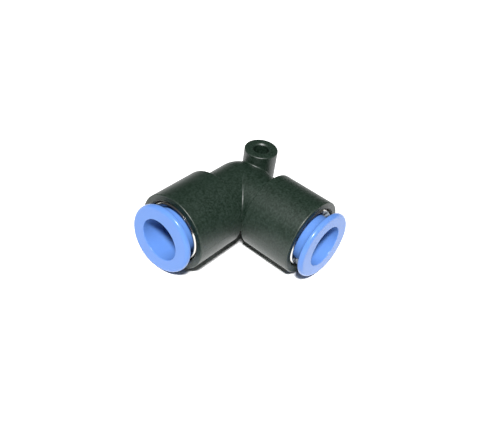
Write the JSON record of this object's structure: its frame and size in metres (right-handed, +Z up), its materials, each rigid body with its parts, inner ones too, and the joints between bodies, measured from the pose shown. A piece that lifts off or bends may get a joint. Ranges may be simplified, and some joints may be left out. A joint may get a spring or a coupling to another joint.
{
  "type": "push-to-connect fitting",
  "caption": "Right-angle union elbow for air tube: black moulded body with an upright screw-hole post and a push-in port with a blue oval release button at each end.",
  "frame": {"origin": "on the mounting hole's axis, level with the two port axes", "axes": "+X parallel to port A's axis and outwards, +Y parallel to port B's and outwards, +Z up the mounting hole"},
  "size_m": [0.0446, 0.0422, 0.022],
  "materials": {
    "body_plastic": "fine satin moulded black plastic",
    "button_plastic": "smooth semi-gloss light blue plastic",
    "guide_metal": "bright plated metal",
    "chuck_steel": "stamped stainless spring steel",
    "seal_rubber": "black rubber",
    "spacer_plastic": "natural white plastic"
  },
  "bodies": {
    "fitting_body": {"elbow_body": "body_plastic", "tube_seal_a": "seal_rubber", "spacer_cup_a": "spacer_plastic", "guide_ring_a": "guide_metal", "tube_seal_b": "seal_rubber", "spacer_cup_b": "spacer_plastic", "guide_ring_b": "guide_metal"},
    "chuck_a": {"chuck_ring_a": "chuck_steel"},
    "button_a": {"release_button_a": "button_plastic"},
    "claw_a1": {"chuck_claw_a1": "chuck_steel"},
    "claw_a2": {"chuck_claw_a2": "chuck_steel"},
    "claw_a3": {"chuck_claw_a3": "chuck_steel"},
    "claw_a4": {"chuck_claw_a4": "chuck_steel"},
    "claw_a5": {"chuck_claw_a5": "chuck_steel"},
    "claw_a6": {"chuck_claw_a6": "chuck_steel"},
    "claw_a7": {"chuck_claw_a7": "chuck_steel"},
    "claw_a8": {"chuck_claw_a8": "chuck_steel"},
    "chuck_b": {"chuck_ring_b": "chuck_steel"},
    "button_b": {"release_button_b": "button_plastic"},
    "claw_b1": {"chuck_claw_b1": "chuck_steel"},
    "claw_b2": {"chuck_claw_b2": "chuck_steel"},
    "claw_b3": {"chuck_claw_b3": "chuck_steel"},
    "claw_b4": {"chuck_claw_b4": "chuck_steel"},
    "claw_b5": {"chuck_claw_b5": "chuck_steel"},
    "claw_b6": {"chuck_claw_b6": "chuck_steel"},
    "claw_b7": {"chuck_claw_b7": "chuck_steel"},
    "claw_b8": {"chuck_claw_b8": "chuck_steel"}
  },
  "joints": [
    {"name": "chuck_spin_a", "type": "hinge", "parent": "fitting_body", "child": "chuck_a", "pos_m": [0.0285, 0.00025, 0], "axis": [1, 0, 0], "continuous": true},
    {"name": "button_press_a", "type": "slide", "parent": "chuck_a", "child": "button_a", "axis": [-1, 0, 0], "range_m": [0, 0.0012], "stiffness_N_per_m": 1500},
    {"name": "claw_open_a1", "type": "hinge", "parent": "chuck_a", "child": "claw_a1", "pos_m": [0.0285, 0.00025, -0.00795], "axis": [0, -1, 0], "range_deg": [0, 30]},
    {"name": "claw_open_a2", "type": "hinge", "parent": "chuck_a", "child": "claw_a2", "pos_m": [0.0285, 0.00587, -0.00562], "axis": [0, -0.7071, -0.7071], "range_deg": [0, 30]},
    {"name": "claw_open_a3", "type": "hinge", "parent": "chuck_a", "child": "claw_a3", "pos_m": [0.0285, 0.0082, 0], "axis": [0, 0, -1], "range_deg": [0, 30]},
    {"name": "claw_open_a4", "type": "hinge", "parent": "chuck_a", "child": "claw_a4", "pos_m": [0.0285, 0.00587, 0.00562], "axis": [0, 0.7071, -0.7071], "range_deg": [0, 30]},
    {"name": "claw_open_a5", "type": "hinge", "parent": "chuck_a", "child": "claw_a5", "pos_m": [0.0285, 0.00025, 0.00795], "axis": [0, 1, 0], "range_deg": [0, 30]},
    {"name": "claw_open_a6", "type": "hinge", "parent": "chuck_a", "child": "claw_a6", "pos_m": [0.0285, -0.00537, 0.00562], "axis": [0, 0.7071, 0.7071], "range_deg": [0, 30]},
    {"name": "claw_open_a7", "type": "hinge", "parent": "chuck_a", "child": "claw_a7", "pos_m": [0.0285, -0.0077, 0], "axis": [0, 0, 1], "range_deg": [0, 30]},
    {"name": "claw_open_a8", "type": "hinge", "parent": "chuck_a", "child": "claw_a8", "pos_m": [0.0285, -0.00537, -0.00562], "axis": [0, -0.7071, 0.7071], "range_deg": [0, 30]},
    {"name": "chuck_spin_b", "type": "hinge", "parent": "fitting_body", "child": "chuck_b", "pos_m": [0.0085, 0.02025, 0], "axis": [0, 1, 0], "continuous": true},
    {"name": "button_press_b", "type": "slide", "parent": "chuck_b", "child": "button_b", "axis": [0, -1, 0], "range_m": [0, 0.0012], "stiffness_N_per_m": 1500},
    {"name": "claw_open_b1", "type": "hinge", "parent": "chuck_b", "child": "claw_b1", "pos_m": [0.01645, 0.02025, 0], "axis": [0, 0, 1], "range_deg": [0, 30]},
    {"name": "claw_open_b2", "type": "hinge", "parent": "chuck_b", "child": "claw_b2", "pos_m": [0.01412, 0.02025, -0.00562], "axis": [0.7071, 0, 0.7071], "range_deg": [0, 30]},
    {"name": "claw_open_b3", "type": "hinge", "parent": "chuck_b", "child": "claw_b3", "pos_m": [0.0085, 0.02025, -0.00795], "axis": [1, 0, 0], "range_deg": [0, 30]},
    {"name": "claw_open_b4", "type": "hinge", "parent": "chuck_b", "child": "claw_b4", "pos_m": [0.00288, 0.02025, -0.00562], "axis": [0.7071, 0, -0.7071], "range_deg": [0, 30]},
    {"name": "claw_open_b5", "type": "hinge", "parent": "chuck_b", "child": "claw_b5", "pos_m": [0.00055, 0.02025, 0], "axis": [0, 0, -1], "range_deg": [0, 30]},
    {"name": "claw_open_b6", "type": "hinge", "parent": "chuck_b", "child": "claw_b6", "pos_m": [0.00288, 0.02025, 0.00562], "axis": [-0.7071, 0, -0.7071], "range_deg": [0, 30]},
    {"name": "claw_open_b7", "type": "hinge", "parent": "chuck_b", "child": "claw_b7", "pos_m": [0.0085, 0.02025, 0.00795], "axis": [-1, 0, 0], "range_deg": [0, 30]},
    {"name": "claw_open_b8", "type": "hinge", "parent": "chuck_b", "child": "claw_b8", "pos_m": [0.01412, 0.02025, 0.00562], "axis": [-0.7071, 0, 0.7071], "range_deg": [0, 30]}
  ],
  "couplings": [
    {"joint": "claw_open_a1", "follows": "button_press_a", "rad_per_m": 436.32},
    {"joint": "claw_open_a2", "follows": "button_press_a", "rad_per_m": 436.32},
    {"joint": "claw_open_a3", "follows": "button_press_a", "rad_per_m": 436.32},
    {"joint": "claw_open_a4", "follows": "button_press_a", "rad_per_m": 436.32},
    {"joint": "claw_open_a5", "follows": "button_press_a", "rad_per_m": 436.32},
    {"joint": "claw_open_a6", "follows": "button_press_a", "rad_per_m": 436.32},
    {"joint": "claw_open_a7", "follows": "button_press_a", "rad_per_m": 436.32},
    {"joint": "claw_open_a8", "follows": "button_press_a", "rad_per_m": 436.32},
    {"joint": "claw_open_b1", "follows": "button_press_b", "rad_per_m": 436.32},
    {"joint": "claw_open_b2", "follows": "button_press_b", "rad_per_m": 436.32},
    {"joint": "claw_open_b3", "follows": "button_press_b", "rad_per_m": 436.32},
    {"joint": "claw_open_b4", "follows": "button_press_b", "rad_per_m": 436.32},
    {"joint": "claw_open_b5", "follows": "button_press_b", "rad_per_m": 436.32},
    {"joint": "claw_open_b6", "follows": "button_press_b", "rad_per_m": 436.32},
    {"joint": "claw_open_b7", "follows": "button_press_b", "rad_per_m": 436.32},
    {"joint": "claw_open_b8", "follows": "button_press_b", "rad_per_m": 436.32}
  ]
}
